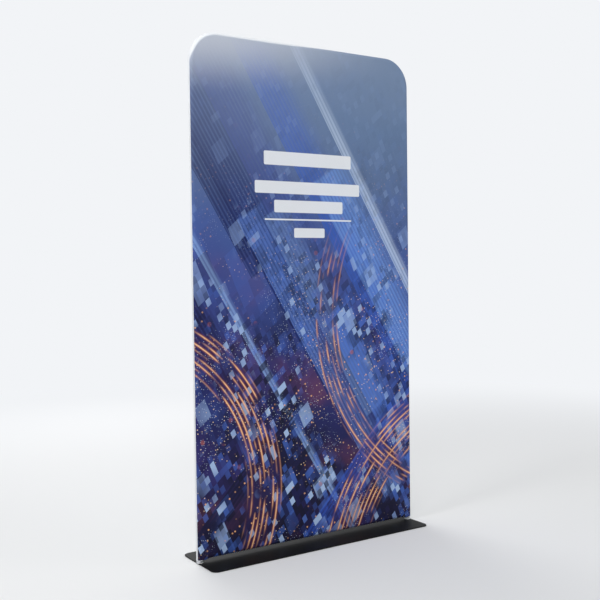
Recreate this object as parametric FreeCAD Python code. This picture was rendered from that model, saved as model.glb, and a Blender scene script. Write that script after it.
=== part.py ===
import FreeCAD, Part
import math
import os

# Free-standing fabric display wall, in millimetres.
# X runs along the wall, the printed front looks towards -Y, and +Z is up.
# The origin is on the floor, under the middle of the base plate.

# Overall sizes
wall_width = 1200.0  # over the fabric
wall_height = 2300.0  # floor to the top of the fabric
fabric_lift = 12.5  # open gap between the base plate and the fabric

# Base plate and its rubber pads
plate_depth = 300.0
plate_thickness = 4.0
plate_end_setback = 5.0  # the plate ends this far inside the wall's ends
plate_corner_radius = 28.0
plate_edge_chamfer = 0.6
pad_diameter = 25.0
pad_thickness = 1.5
pad_end_inset = 55.0
pad_side_inset = 25.0
pad_columns = 3
pad_rows = 2

# Round tube of the frame
tube_diameter = 30.0
tube_wall = 1.5
bend_radius = 120.0  # to the tube's centreline
lower_upright_top = 1060.0  # floor to the joint in each upright
rail_gap = 30.0  # clear height between an upright's ferrule and the middle rail
rail_end_gap = 0.5

# Nylon bush in each upright's foot
bush_flange_thickness = 3.0
bush_wall = 3.4
bush_length = 45.0
bush_fit = 0.05

# Post on the base plate for each foot, and its countersunk screw
post_height = 100.0
post_fit = 0.1
post_chamfer = 2.0
screw_diameter = 6.0
screw_fit = 0.05
screw_depth = 16.0  # into the post
screw_head_diameter = 12.0
screw_head_height = 3.0
screw_hole_play = 0.2
hex_key_width = 4.0
hex_key_depth = 2.2
hex_sides = 6

# Ferrules inside the tube joints, with blind rivets
ferrule_length = 110.0
ferrule_wall = 1.5
ferrule_fit = 0.1
corner_leg_margin = 5.0  # straight leg past the ferrule's end
rivet_diameter = 4.0
rivet_fit = 0.05
rivet_head_diameter = 8.0
rivet_head_height = 1.3
rivet_tail_diameter = 5.6
rivet_tail_height = 1.6
rivet_place_shares = (0.3, 0.75)  # of half the ferrule, from the joint
ferrule_button_share = 0.4  # of half the ferrule, from the joint

# Stubs on the uprights that carry the middle and bottom rails
stub_length = 70.0
stub_web = 15.0
saddle_fit = 0.05
stub_button_share = 0.27  # of the stub's hollow length
stub_screw_head_diameter = 10.0
stub_screw_head_height = 6.0
stub_screw_tip_gap = 1.5
stub_screw_seat_gap = 0.05
driver_hole_play = 1.5

# Snap buttons and their vee springs
button_diameter = 7.0
button_fit = 0.1
button_projection = 2.2
button_dome_radius = 2.0
button_flange_diameter = 9.5
button_flange_thickness = 1.0
button_flange_gap = 0.3
spring_width = 8.0
spring_thickness = 0.5
spring_flat = 5.0  # half of the flat stretch under the button
spring_reach = 27.0
spring_bend_radius = 1.5
spring_wall_gap = 0.2

# Stretch fabric cover
fabric_thickness = 0.5
fabric_clearance = 0.3
front_wrap_angle = 62.0  # the printed panel reaches this far round the edge tube
front_angle = 0.0
back_angle = 180.0
quarter_turn = 90.0
seam_gap = 0.3
foot_opening_play = 0.2  # past the cover's own clearance round the foot

# Zip across the back, above the bottom rail
zip_rise = 13.0  # bottom rail's crown to the zip's centreline
zip_end_inset = 7.0
zip_slot_margin = 1.0
zip_slot_height = 8.0
coil_height = 2.4
coil_depth = 2.4
coil_gap = 1.2
tape_width = 13.0
tape_thickness = 0.6
tape_clearance = 0.3
stop_length = 4.0
stop_wrap = 0.3
slider_length = 14.0
slider_height = 11.0
slider_plate = 1.2
slider_gap = 0.4
slider_lip = 0.8
slider_lip_width = 0.8
slider_wedge_thickness = 0.6
slider_wedge_length = 4.0
slider_corner_radius = 2.5
slider_park = 5.0
bail_length = 8.0
bail_width = 2.0
bail_leg = 1.0
bail_window = 2.4
bail_bar = 1.0
pull_pin_diameter = 1.6
pull_thickness = 1.4
pull_arm_gap = 0.6
pull_arm_width = 1.9
pull_eye_reach = 7.0
pull_length = 30.0
pull_width = 8.0
pull_end_radius = 3.0

# Overrun of every cutting tool past the face that it opens
overrun = 2.0

# An edge runs along a direction if this share of its unit tangent lies that way
along_share = 0.99

# Derived radii and places
tube_radius = tube_diameter / 2
bore_radius = tube_radius - tube_wall
fabric_inner = tube_radius + fabric_clearance
fabric_outer = fabric_inner + fabric_thickness
plate_length = wall_width - 2 * plate_end_setback
plate_bottom = pad_thickness
plate_top = plate_bottom + plate_thickness
fabric_bottom = plate_top + fabric_lift
upright_x = wall_width / 2 - fabric_outer
top_rail_z = wall_height - fabric_outer
bottom_rail_z = fabric_bottom + fabric_outer
bend_z = top_rail_z - bend_radius
bend_x = upright_x - bend_radius
sleeve_radius = bore_radius - ferrule_fit
sleeve_bore = sleeve_radius - ferrule_wall
half_ferrule = ferrule_length / 2
corner_leg = half_ferrule + corner_leg_margin
shoulder_z = bend_z - corner_leg
top_joint_x = bend_x - corner_leg
middle_rail_z = lower_upright_top + half_ferrule + rail_gap + tube_radius
saddle_radius = tube_radius + saddle_fit
rail_end_x = upright_x - tube_radius - rail_end_gap
foot_z = plate_top + bush_flange_thickness
post_radius = bore_radius - bush_wall - post_fit
zip_z = bottom_rail_z + tube_radius + zip_rise
zip_half = upright_x - tube_radius - zip_end_inset
foot_opening_x = upright_x - fabric_inner - foot_opening_play
coil_front = fabric_inner - tape_clearance - tape_thickness

right = FreeCAD.Vector(1, 0, 0)
back = FreeCAD.Vector(0, 1, 0)
up = FreeCAD.Vector(0, 0, 1)
left = right * -1
front = back * -1
down = up * -1
sides = {"left": -1, "right": 1}


def at(x, y, z):
    return FreeCAD.Vector(x, y, z)


def rod(radius, start, direction, length):
    return Part.makeCylinder(radius, length, start, direction)


def pipe(outer, inner, start, end):
    run = end - start
    wall = rod(outer, start, run, run.Length)
    lead = FreeCAD.Vector(run).normalize() * overrun
    return wall.cut(rod(inner, start - lead, run, run.Length + 2 * overrun))


def block(x_range, y_range, z_range):
    size = [high - low for low, high in (x_range, y_range, z_range)]
    return Part.makeBox(*size, at(x_range[0], y_range[0], z_range[0]))


def facing(origin, out, along):
    """Places a fitting whose own X looks out of the tube and whose own Z runs along it."""
    across = along.cross(out)
    return FreeCAD.Placement(
        FreeCAD.Matrix(
            out.x, across.x, along.x, origin.x,
            out.y, across.y, along.y, origin.y,
            out.z, across.z, along.z, origin.z,
        )
    )


def placed(shape, placement):
    moved = shape.copy()
    moved.Placement = placement
    return moved


def edges_along(shape, direction):
    return [e for e in shape.Edges if abs(e.tangentAt(e.FirstParameter).dot(direction)) > along_share]


def round_rim(shape, axis, height):
    """Full circles of the shape that lie past that height along X or Z."""
    rims = [e for e in shape.Edges if len(e.Vertexes) == 1]
    return [e for e in rims if e.CenterOfMass.dot(axis) > height]


def button_seat():
    """Height over the tube's centreline of the face that the button's flange offers to the ferrule."""
    reach = math.sqrt(sleeve_bore**2 - (button_flange_diameter / 2) ** 2)
    return reach - button_flange_gap


def snap_button():
    """Turned pin with a domed tip and a retaining flange, across the tube at the origin."""
    seat = button_seat()
    tip = tube_radius + button_projection
    pin = rod(button_diameter / 2, at(seat, 0, 0), right, tip - seat)
    pin = pin.makeFillet(button_dome_radius, round_rim(pin, right, tip - button_dome_radius))
    base = at(seat - button_flange_thickness, 0, 0)
    flange = rod(button_flange_diameter / 2, base, right, button_flange_thickness)
    return pin.fuse(flange).removeSplitter()


def tangent_point(start, centre, radius, turn):
    """Where a line from start touches the circle, given as (x, z), on the side that turn picks."""
    dx, dz = start[0] - centre[0], start[1] - centre[1]
    reach = math.hypot(dx, dz)
    angle = math.atan2(dz, dx) + turn * math.acos(radius / reach)
    return centre[0] + radius * math.cos(angle), centre[1] + radius * math.sin(angle)


def vee_spring():
    """Bent strip that lies under the button's flange and bears on the ferrule's far wall."""
    top = button_seat() - button_flange_thickness
    far = spring_wall_gap - math.sqrt(sleeve_bore**2 - (spring_width / 2) ** 2)
    centre = (0, spring_reach - spring_bend_radius)
    heel, toe = (top, spring_flat), (far, -spring_flat)
    first = tangent_point(heel, centre, spring_bend_radius, 1)
    last = tangent_point(toe, centre, spring_bend_radius, -1)
    crown = (0, spring_reach)

    def spot(point):
        return at(point[0], -spring_width / 2, point[1])

    path = Part.Wire(
        [
            Part.makeLine(spot((top, -spring_flat)), spot(heel)),
            Part.makeLine(spot(heel), spot(first)),
            Part.Arc(spot(first), spot(crown), spot(last)).toShape(),
            Part.makeLine(spot(last), spot(toe)),
        ]
    )
    strips = [path.makeOffset2D(turn * spring_thickness, 2, True, True) for turn in (1, -1)]
    inner_strip = min(strips, key=lambda face: face.BoundBox.XMax)
    return inner_strip.extrude(back * spring_width)


def blind_rivet():
    """Rivet with its head outside the tube and its tail inside the ferrule."""
    head_at = at(tube_radius + rivet_fit, 0, 0)
    tail_reach = math.sqrt(sleeve_bore**2 - (rivet_tail_diameter / 2) ** 2)
    tail_at = at(tail_reach - rivet_fit, 0, 0)
    shank = rod(rivet_diameter / 2, tail_at, right, head_at.x - tail_at.x)
    head = rod(rivet_head_diameter / 2, head_at, right, rivet_head_height)
    dome = rivet_head_height / 2
    head = head.makeFillet(dome, round_rim(head, right, head_at.x + dome))
    tail = rod(rivet_tail_diameter / 2, tail_at, left, rivet_tail_height)
    return shank.multiFuse([head, tail]).removeSplitter()


def hex_socket(start, direction):
    """Six-sided key hole, with its mouth at start."""
    corner_radius = hex_key_width / 2 / math.cos(math.pi / hex_sides)
    corners = []
    for step in range(hex_sides):
        angle = 2 * math.pi * step / hex_sides
        corners.append(at(corner_radius * math.cos(angle), corner_radius * math.sin(angle), 0))
    prism = Part.Face(Part.makePolygon(corners + corners[:1])).extrude(up * hex_key_depth)
    prism.Placement = FreeCAD.Placement(start, FreeCAD.Rotation(up, direction))
    return prism


# Placement of each snap button with its spring, by the joint's name
fittings = {}


def ferrule_joint(name, joint, out, along):
    """Ferrule riveted into the tube behind the joint and buttoned into the tube ahead of it."""
    start, end = joint - along * half_ferrule, joint + along * half_ferrule
    sleeve = pipe(sleeve_radius, sleeve_bore, start, end)
    fittings[name] = facing(joint + along * half_ferrule * ferrule_button_share, out, along)
    rivets = [facing(joint - along * half_ferrule * share, out, along) for share in rivet_place_shares]
    return sleeve, rivets


def stub(name, height, side, out):
    """Hollow stub with a saddle that seats on the upright, for a rail at that height."""
    inward = right * -side
    axis_point = at(side * upright_x, 0, height)
    tip = saddle_radius + stub_length
    hollow_start = saddle_radius + stub_web
    body = rod(sleeve_radius, axis_point, inward, tip)
    body = body.cut(rod(sleeve_bore, axis_point + inward * hollow_start, inward, tip))
    saddle = rod(saddle_radius, axis_point + down * tube_diameter, up, 2 * tube_diameter)
    place = hollow_start + (tip - hollow_start) * stub_button_share
    fittings[name] = facing(axis_point + inward * place, out, inward)
    return body.cut(saddle)


def wall_hole(radius, placement):
    """Cut from the tube's centreline out through its wall."""
    return placed(rod(radius, at(0, 0, 0), right, tube_radius + overrun), placement)


def button_hole(placement):
    return wall_hole(button_diameter / 2 + button_fit, placement)


def rivet_hole(placement):
    return wall_hole(rivet_diameter / 2 + rivet_fit, placement)


def stub_screw(side):
    """Cap screw inside the upright, through its inner wall into the stub's web, with its cuts."""
    inward = right * -side
    axis_point = at(side * upright_x, 0, middle_rail_z)
    head_radius = stub_screw_head_diameter / 2
    seat = math.sqrt(bore_radius**2 - head_radius**2) - stub_screw_seat_gap
    tip = saddle_radius + stub_web - stub_screw_tip_gap
    shank = rod(screw_diameter / 2, axis_point + inward * seat, inward, tip - seat)
    head_back = axis_point + inward * (seat - stub_screw_head_height)
    head = rod(head_radius, head_back, inward, stub_screw_head_height)
    screw = shank.fuse(head).removeSplitter().cut(hex_socket(head_back, inward))
    tapped = rod(screw_diameter / 2 + screw_fit, axis_point, inward, saddle_radius + stub_web + overrun)
    access = rod(head_radius + driver_hole_play, axis_point, inward * -1, tube_radius + overrun)
    clearance = rod(screw_diameter / 2 + screw_hole_play, axis_point, inward, tube_radius + overrun)
    return screw, tapped, [access, clearance]


def base_plate():
    plate = block(
        (-plate_length / 2, plate_length / 2),
        (-plate_depth / 2, plate_depth / 2),
        (plate_bottom, plate_top),
    )
    plate = plate.makeFillet(plate_corner_radius, edges_along(plate, up))
    rims = [e for e in plate.Edges if e.BoundBox.ZLength < plate_thickness / 2]
    plate = plate.makeChamfer(plate_edge_chamfer, rims)
    for side in sides.values():
        foot = at(side * upright_x, 0, plate_bottom)
        through = plate_thickness + 2 * overrun
        plate = plate.cut(rod(screw_diameter / 2 + screw_hole_play, foot - up * overrun, up, through))
        plate = plate.cut(countersink(foot, screw_hole_play))
    return plate


def countersink(foot, play):
    """Cone of a countersunk head whose flat face lies at foot."""
    wide, narrow = screw_head_diameter / 2 + play, screw_diameter / 2 + play
    return Part.makeCone(wide, narrow, screw_head_height, foot, up)


def rubber_pads():
    pads = []
    half_x = plate_length / 2 - pad_end_inset
    half_y = plate_depth / 2 - pad_side_inset
    for column in range(pad_columns):
        for row in range(pad_rows):
            x = -half_x + 2 * half_x * column / (pad_columns - 1)
            y = -half_y + 2 * half_y * row / (pad_rows - 1)
            pads.append(rod(pad_diameter / 2, at(x, y, 0), up, pad_thickness))
    return pads


def post(side):
    """Solid post that the upright's foot slides over, tapped from beneath."""
    foot = at(side * upright_x, 0, plate_top)
    body = rod(post_radius, foot, up, post_height)
    body = body.makeChamfer(post_chamfer, round_rim(body, up, plate_top + post_chamfer))
    tapped = rod(screw_diameter / 2 + screw_fit, foot - up * overrun, up, screw_depth + 2 * overrun)
    return body.cut(tapped)


def post_screw(side):
    foot = at(side * upright_x, 0, plate_bottom)
    head = countersink(foot, 0)
    shank = rod(screw_diameter / 2, foot, up, plate_thickness + screw_depth)
    return head.fuse(shank).removeSplitter().cut(hex_socket(foot, up))


def foot_bush(side):
    """Flanged nylon lining of the upright's foot, which rests on the base plate."""
    foot = at(side * upright_x, 0, plate_top)
    flange = rod(tube_radius, foot, up, bush_flange_thickness)
    height = bush_flange_thickness + bush_length
    body = rod(bore_radius - bush_fit, foot, up, height)
    bore = rod(post_radius + post_fit, foot - up * overrun, up, height + 2 * overrun)
    return flange.fuse(body).removeSplitter().cut(bore)


def corner_tube(side):
    """Bent tube with two straight legs, from an upright to the top rail."""
    bend_foot = at(side * upright_x, 0, bend_z)
    bend_head = at(side * bend_x, 0, top_rail_z)
    leg = pipe(tube_radius, bore_radius, at(side * upright_x, 0, shoulder_z), bend_foot)
    arm = pipe(tube_radius, bore_radius, bend_head, at(side * top_joint_x, 0, top_rail_z))
    rims = [Part.Wire(Part.makeCircle(radius, bend_foot, up)) for radius in (tube_radius, bore_radius)]
    ring = Part.Face(rims)
    ring.validate()
    bend = ring.revolve(at(side * bend_x, 0, bend_z), front * side, quarter_turn)
    return leg.multiFuse([bend, arm]).removeSplitter()


def band_section(centre, outward, angle_from, angle_to):
    """Slice of fabric round an edge tube. Angles run from the front face towards outward."""

    def spot(radius, angle):
        turn = math.radians(angle)
        return centre + outward * radius * math.sin(turn) + front * radius * math.cos(turn)

    angles = (angle_from, (angle_from + angle_to) / 2, angle_to)
    outer = [spot(fabric_outer, angle) for angle in angles]
    inner = [spot(fabric_inner, angle) for angle in reversed(angles)]
    edges = [
        Part.Arc(*outer).toShape(),
        Part.makeLine(outer[-1], inner[0]),
        Part.Arc(*inner).toShape(),
        Part.makeLine(inner[-1], outer[0]),
    ]
    return Part.Face(Part.Wire(edges))


def fabric_flat(y):
    """Flat panel inside the frame's centreline, with its outline's two rounded top corners."""
    low_left, low_right = at(-upright_x, y, bottom_rail_z), at(upright_x, y, bottom_rail_z)
    side_left, side_right = at(-upright_x, y, bend_z), at(upright_x, y, bend_z)
    top_left, top_right = at(-bend_x, y, top_rail_z), at(bend_x, y, top_rail_z)
    diagonal = bend_radius * math.sqrt(0.5)
    crown_left = at(-bend_x - diagonal, y, bend_z + diagonal)
    crown_right = at(bend_x + diagonal, y, bend_z + diagonal)
    outline = Part.Wire(
        [
            Part.makeLine(low_left, side_left),
            Part.Arc(side_left, crown_left, top_left).toShape(),
            Part.makeLine(top_left, top_right),
            Part.Arc(top_right, crown_right, side_right).toShape(),
            Part.makeLine(side_right, low_right),
            Part.makeLine(low_right, low_left),
        ]
    )
    return Part.Face(outline).extrude(back * fabric_thickness)


def fabric_shell(flat_y, angle_from, angle_to):
    """One face of the cover with the part that it wraps round the edge tubes.

    The wrap under the bottom rail stops short of the feet, which come out there. Round each foot
    the cover hangs straight down instead, to the same height.
    """
    pieces = []
    for side in sides.values():
        foot = at(side * upright_x, 0, fabric_bottom)
        section = band_section(foot, right * side, angle_from, angle_to)
        pieces.append(section.extrude(up * (bend_z - fabric_bottom)))
        x_range = sorted((side * foot_opening_x, side * upright_x))
        y_range = (flat_y, flat_y + fabric_thickness)
        pieces.append(block(x_range, y_range, (fabric_bottom, bottom_rail_z)))
        section = band_section(at(side * upright_x, 0, bend_z), right * side, angle_from, angle_to)
        pieces.append(section.revolve(at(side * bend_x, 0, bend_z), front * side, quarter_turn))
    section = band_section(at(-bend_x, 0, top_rail_z), up, angle_from, angle_to)
    pieces.append(section.extrude(right * 2 * bend_x))
    section = band_section(at(-foot_opening_x, 0, bottom_rail_z), down, angle_from, angle_to)
    pieces.append(section.extrude(right * 2 * foot_opening_x))
    return fabric_flat(flat_y).multiFuse(pieces).removeSplitter()


def zip_slot():
    reach = zip_half + zip_slot_margin
    return block(
        (-reach, reach),
        (0, fabric_outer + overrun),
        (zip_z - zip_slot_height / 2, zip_z + zip_slot_height / 2),
    )


def back_pieces():
    """Back panel above the zip and the strip below it, which wraps under the bottom rail."""
    seam_angle = math.degrees(seam_gap / fabric_outer)
    shell = fabric_shell(fabric_inner, front_wrap_angle + seam_angle, back_angle)
    reach = wall_width / 2 + overrun
    seam = block(
        (-reach, reach),
        (-fabric_outer - overrun, fabric_outer + overrun),
        (zip_z - seam_gap / 2, zip_z + seam_gap / 2),
    )
    parted = shell.cut(seam).cut(zip_slot())
    ordered = sorted(parted.Solids, key=lambda solid: solid.CenterOfMass.z)
    return ordered[0], ordered[-1]


def zip_row(direction):
    """One row of the zip's coil, above (+1) or below (-1) its centreline, as (row, tape)."""
    half = zip_half - stop_length
    near, far = direction * coil_gap / 2, direction * (coil_gap / 2 + coil_height)
    tape_far = far + direction * tape_width
    coil_range = (coil_front, coil_front + coil_depth)
    row = block((-half, half), coil_range, sorted((zip_z + near, zip_z + far)))
    tape = block(
        (-zip_half, zip_half),
        (coil_front, coil_front + tape_thickness),
        sorted((zip_z + far, zip_z + tape_far)),
    )
    return row, tape


def zip_stops():
    """Crimped stop at each end of the coil."""
    y_range = (coil_front - stop_wrap, coil_front + coil_depth + stop_wrap)
    half_height = coil_gap / 2 + coil_height
    z_range = (zip_z - half_height, zip_z + half_height)
    inner = zip_half - stop_length
    x_ranges = [sorted((side * inner, side * zip_half)) for side in sides.values()]
    return [block(x_range, y_range, z_range) for x_range in x_ranges]


def slider_centre():
    x = zip_half - stop_length - slider_park - slider_length / 2
    return at(x, coil_front + coil_depth / 2, zip_z)


def zip_slider():
    """Two plates joined by a wedge that runs between the coil's rows, with a bail on the outer one."""
    centre = slider_centre()
    inner_face = coil_depth / 2 + slider_gap
    outer_face = inner_face + slider_plate
    half_x, half_z = slider_length / 2, slider_height / 2
    plates = []
    for low in (-outer_face, inner_face):
        plate = block((-half_x, half_x), (low, low + slider_plate), (-half_z, half_z))
        plates.append(plate.makeFillet(slider_corner_radius, edges_along(plate, back)))
    lip_half = half_x - slider_corner_radius
    for side in (-1, 1):
        z_range = sorted((side * half_z, side * (half_z - slider_lip_width)))
        plates.append(block((-lip_half, lip_half), (inner_face - slider_lip, inner_face), z_range))
    wedge_half = slider_wedge_thickness / 2
    wedge_x = (half_x - slider_corner_radius - slider_wedge_length, half_x - slider_corner_radius)
    wedge = block(wedge_x, (-inner_face, inner_face), (-wedge_half, wedge_half))
    arch = block(
        (-bail_length / 2, bail_length / 2),
        (outer_face, outer_face + bail_window + bail_bar),
        (-bail_width / 2, bail_width / 2),
    )
    window = block(
        (-bail_length / 2 + bail_leg, bail_length / 2 - bail_leg),
        (outer_face, outer_face + bail_window),
        (-bail_width / 2, bail_width / 2),
    )
    body = plates[0].multiFuse(plates[1:] + [wedge, arch.cut(window)]).removeSplitter()
    return placed(body, FreeCAD.Placement(centre, FreeCAD.Rotation()))


def pull_pivot():
    centre = slider_centre()
    rise = coil_depth / 2 + slider_gap + slider_plate + bail_window / 2
    return centre + back * rise


def zip_pull():
    """Flat tab on a cross pin that turns in the slider's bail; it lies towards the zip's end."""
    arm_inner = bail_width / 2 + pull_arm_gap
    arm_outer = arm_inner + pull_arm_width
    half_y = pull_thickness / 2
    pin = rod(pull_pin_diameter / 2, at(0, 0, -arm_outer), up, 2 * arm_outer)
    pieces = []
    for side in (-1, 1):
        z_range = sorted((side * arm_inner, side * arm_outer))
        pieces.append(block((0, pull_eye_reach), (-half_y, half_y), z_range))
    tab = block((pull_eye_reach, pull_length), (-half_y, half_y), (-pull_width / 2, pull_width / 2))
    ends = [e for e in edges_along(tab, back) if e.CenterOfMass.x > pull_eye_reach]
    pieces.append(tab.makeFillet(pull_end_radius, ends))
    pull = pin.multiFuse(pieces).removeSplitter()
    return placed(pull, FreeCAD.Placement(pull_pivot(), FreeCAD.Rotation()))


def build():
    nodes = {}
    nodes["base_plate"] = base_plate()
    nodes["rubber_pads"] = Part.makeCompound(rubber_pads())
    nodes["post_screws"] = Part.makeCompound([post_screw(side) for side in sides.values()])

    rivet_places = []
    stub_screws = []
    for name, side in sides.items():
        inward = right * -side
        nodes["post_" + name] = post(side)
        nodes["foot_bush_" + name] = foot_bush(side)

        middle = at(side * upright_x, 0, lower_upright_top)
        shoulder = at(side * upright_x, 0, shoulder_z)
        corner = at(side * top_joint_x, 0, top_rail_z)
        ferrules = {
            "middle": ferrule_joint("middle_" + name, middle, inward, up),
            "shoulder": ferrule_joint("shoulder_" + name, shoulder, inward, down),
            "top": ferrule_joint("top_" + name, corner, down, inward),
        }
        holes = {}
        for kind, (sleeve, rivets) in ferrules.items():
            rivet_places.extend(rivets)
            holes[kind] = [rivet_hole(place) for place in rivets]
            holes[kind].append(button_hole(fittings[kind + "_" + name]))
            nodes["ferrule_" + kind + "_" + name] = sleeve.cut(holes[kind])

        middle_stub = stub("middle_rail_" + name, middle_rail_z, side, down)
        bottom_stub = stub("bottom_rail_" + name, bottom_rail_z, side, up)
        screw, tapped, wall_holes = stub_screw(side)
        stub_screws.append(screw)
        holes["middle_rail"] = [button_hole(fittings["middle_rail_" + name])]
        holes["bottom_rail"] = [button_hole(fittings["bottom_rail_" + name])]
        nodes["rail_stub_middle_" + name] = middle_stub.cut(holes["middle_rail"] + [tapped])
        nodes["rail_stub_bottom_" + name] = bottom_stub.cut(holes["bottom_rail"])

        foot = at(side * upright_x, 0, foot_z)
        lower = pipe(tube_radius, bore_radius, foot, middle)
        upper = pipe(tube_radius, bore_radius, middle, shoulder)
        nodes["upright_lower_" + name] = lower.cut(holes["middle"])
        nodes["upright_upper_" + name] = upper.cut(holes["middle"] + holes["shoulder"] + wall_holes)
        nodes["corner_tube_" + name] = corner_tube(side).cut(holes["shoulder"] + holes["top"])

    rails = {
        "top_rail": (top_joint_x, top_rail_z, "top_"),
        "middle_rail": (rail_end_x, middle_rail_z, "middle_rail_"),
        "bottom_rail": (rail_end_x, bottom_rail_z, "bottom_rail_"),
    }
    for name, (half, height, fitting) in rails.items():
        rail = pipe(tube_radius, bore_radius, at(-half, 0, height), at(half, 0, height))
        nodes[name] = rail.cut([button_hole(fittings[fitting + side]) for side in sides])

    rivets = [placed(blind_rivet(), place) for place in rivet_places]
    springs = [placed(vee_spring(), place) for place in fittings.values()]
    nodes["ferrule_rivets"] = Part.makeCompound(rivets)
    nodes["button_springs"] = Part.makeCompound(springs)
    nodes["stub_screws"] = Part.makeCompound(stub_screws)
    for name, place in fittings.items():
        nodes["snap_button_" + name] = placed(snap_button(), place)

    nodes["front_panel"] = fabric_shell(-fabric_outer, front_angle, front_wrap_angle)
    nodes["lower_strip"], nodes["back_panel"] = back_pieces()
    nodes["zip_coil_upper"], nodes["zip_tape_upper"] = zip_row(1)
    nodes["zip_coil_lower"], nodes["zip_tape_lower"] = zip_row(-1)
    nodes["zip_stops"] = Part.makeCompound(zip_stops())
    nodes["zip_slider"] = zip_slider()
    nodes["zip_pull"] = zip_pull()
    return nodes


os.makedirs("parts", exist_ok=True)
for node, shape in build().items():
    shape.exportStep("parts/" + node + ".step")
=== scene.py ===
import math

import bpy
import numpy as np
from mathutils import Matrix, Vector


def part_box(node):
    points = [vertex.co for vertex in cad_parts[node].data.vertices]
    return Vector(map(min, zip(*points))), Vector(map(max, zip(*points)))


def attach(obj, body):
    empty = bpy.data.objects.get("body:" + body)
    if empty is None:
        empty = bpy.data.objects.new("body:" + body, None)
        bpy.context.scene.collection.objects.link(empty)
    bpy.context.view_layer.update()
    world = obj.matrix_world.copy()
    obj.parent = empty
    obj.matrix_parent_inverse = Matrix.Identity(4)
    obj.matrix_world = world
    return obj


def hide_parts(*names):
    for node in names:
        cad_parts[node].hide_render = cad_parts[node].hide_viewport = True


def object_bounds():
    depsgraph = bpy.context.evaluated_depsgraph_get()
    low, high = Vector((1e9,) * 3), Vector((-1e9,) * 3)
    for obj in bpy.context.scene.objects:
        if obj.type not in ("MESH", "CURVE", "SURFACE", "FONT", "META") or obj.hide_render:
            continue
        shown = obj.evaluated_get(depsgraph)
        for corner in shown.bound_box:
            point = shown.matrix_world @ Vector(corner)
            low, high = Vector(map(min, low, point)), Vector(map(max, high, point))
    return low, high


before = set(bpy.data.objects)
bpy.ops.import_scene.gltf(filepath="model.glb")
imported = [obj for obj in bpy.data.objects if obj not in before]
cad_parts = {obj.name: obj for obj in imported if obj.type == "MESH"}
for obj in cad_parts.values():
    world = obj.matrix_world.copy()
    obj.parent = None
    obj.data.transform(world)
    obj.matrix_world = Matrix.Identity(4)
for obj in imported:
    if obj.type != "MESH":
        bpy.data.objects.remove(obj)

cad_low, cad_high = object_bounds()


# Base plate: one long flat bar of steel with rounded corners, powder-coated in matt black. The
# two posts that the wall's feet slide over stand on it and have the same coat.
class Signal:
    """One output of a node. Arithmetic on it adds Math nodes."""

    def __init__(self, tree, socket):
        self.tree, self.socket = tree, socket

    def output(self, name):
        """Another output of the same node."""
        return Signal(self.tree, self.socket.node.outputs[name])

    def math(self, operation, *others, swapped=False):
        """Math node on this signal and the others, or with them first."""
        values = (*others, self) if swapped else (self, *others)
        return add_node(self.tree, "ShaderNodeMath", {"operation": operation}, dict(enumerate(values)))

    def __add__(self, other):
        return self.math("ADD", other)

    def __sub__(self, other):
        return self.math("SUBTRACT", other)

    def __mul__(self, other):
        return self.math("MULTIPLY", other)

    def __truediv__(self, other):
        return self.math("DIVIDE", other)

    def __pow__(self, other):
        return self.math("POWER", other)

    def __radd__(self, other):
        return self.math("ADD", other, swapped=True)

    def __rsub__(self, other):
        return self.math("SUBTRACT", other, swapped=True)

    def __rmul__(self, other):
        return self.math("MULTIPLY", other, swapped=True)

    def __rtruediv__(self, other):
        return self.math("DIVIDE", other, swapped=True)

    def __rpow__(self, other):
        return self.math("POWER", other, swapped=True)

    def __abs__(self):
        return self.math("ABSOLUTE")

    def rise(self, low, high):
        """0 at low, 1 at high, and a smooth step between them. High may be the smaller one."""
        inputs = {"Value": self, "From Min": low, "From Max": high}
        settings = {"interpolation_type": "SMOOTHSTEP"}
        return add_node(self.tree, "ShaderNodeMapRange", settings, inputs)


def add_node(tree, kind, settings=None, inputs=None, output=0):
    """Adds a node, sets it, fills its sockets with values or links, and wraps one output."""
    node = tree.nodes.new(kind)
    for name, value in (settings or {}).items():
        if name == "stops":
            ramp = node.color_ramp.elements
            for place, color in value[1:-1]:
                ramp.new(place)
            for stop, (place, color) in zip(ramp, value):
                stop.position, stop.color = place, color
        else:
            setattr(node, name, value)
    for name, value in (inputs or {}).items():
        if isinstance(value, Signal):
            tree.links.new(value.socket, node.inputs[name])
        else:
            node.inputs[name].default_value = value
    return Signal(tree, node.outputs[output])


def paint(*levels):
    """A colour on the scale from 0 to 255, as light."""
    shares = [level / 255 for level in levels]
    light = [((share + 0.055) / 1.055) ** 2.4 if share > 0.04045 else share / 12.92 for share in shares]
    return (*light, 1.0)


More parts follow.
